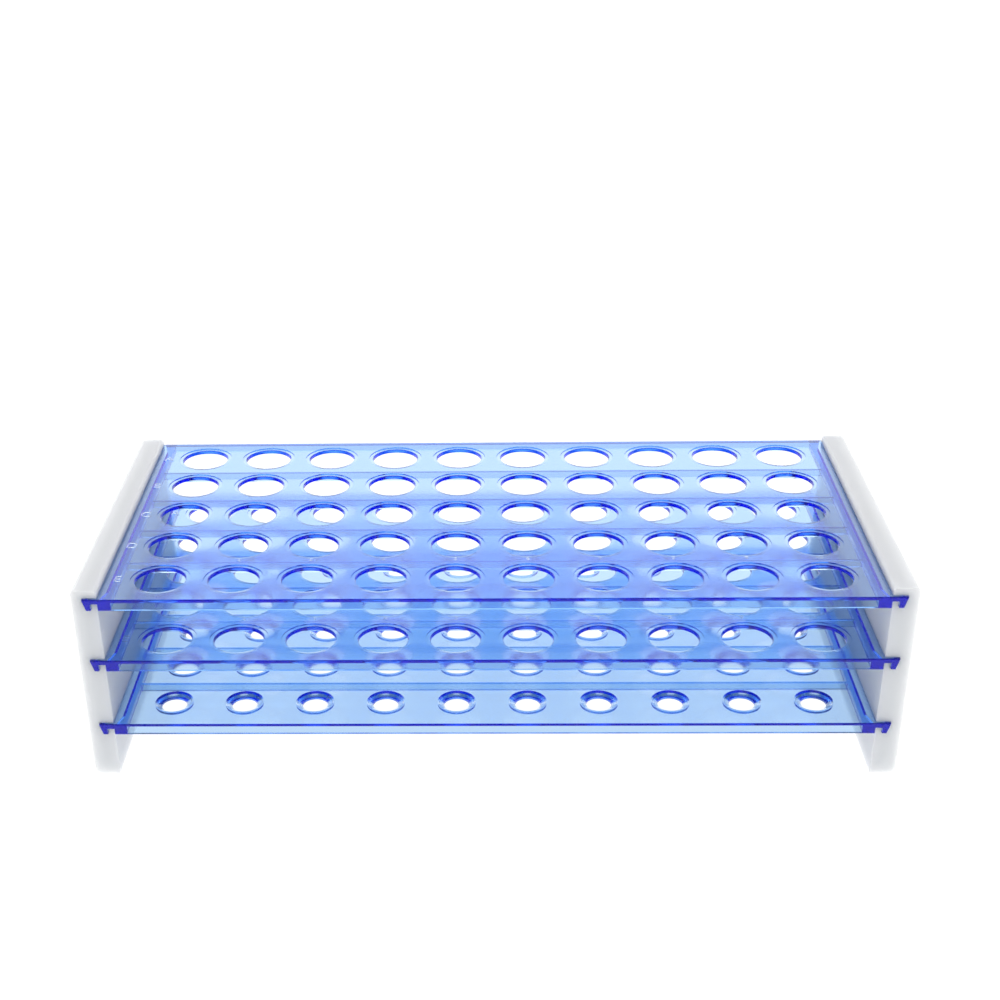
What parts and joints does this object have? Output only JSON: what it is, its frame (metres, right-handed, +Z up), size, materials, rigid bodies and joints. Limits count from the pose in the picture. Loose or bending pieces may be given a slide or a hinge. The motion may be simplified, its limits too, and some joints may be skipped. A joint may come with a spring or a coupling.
{
  "type": "test tube rack",
  "caption": "Bench rack for test tubes: perforated slide-in shelves between two upright end plates, with a seat for each tube's foot on the lowest shelf.",
  "frame": {"origin": "middle of the footprint, on the plane that the end plates stand on", "axes": "+X along the rack, from the left end plate to the right one; +Y to the back; +Z up"},
  "size_m": [0.252, 0.1168, 0.066],
  "materials": {
    "end_plate_plastic": "translucent white plastic, satin",
    "shelf_plastic": "clear blue plastic, polished"
  },
  "bodies": {
    "end_plates": {"left_end_plate": "end_plate_plastic", "right_end_plate": "end_plate_plastic"},
    "top_shelf_body": {"top_shelf": "shelf_plastic"},
    "middle_shelf_body": {"middle_shelf": "shelf_plastic"},
    "bottom_shelf_body": {"bottom_shelf": "shelf_plastic"}
  },
  "joints": [
    {"name": "top_shelf_slide", "type": "slide", "parent": "end_plates", "child": "top_shelf_body", "axis": [0, -1, 0], "range_m": [0, 0.117]},
    {"name": "middle_shelf_slide", "type": "slide", "parent": "end_plates", "child": "middle_shelf_body", "axis": [0, -1, 0], "range_m": [0, 0.117]},
    {"name": "bottom_shelf_slide", "type": "slide", "parent": "end_plates", "child": "bottom_shelf_body", "axis": [0, -1, 0], "range_m": [0, 0.117]}
  ]
}
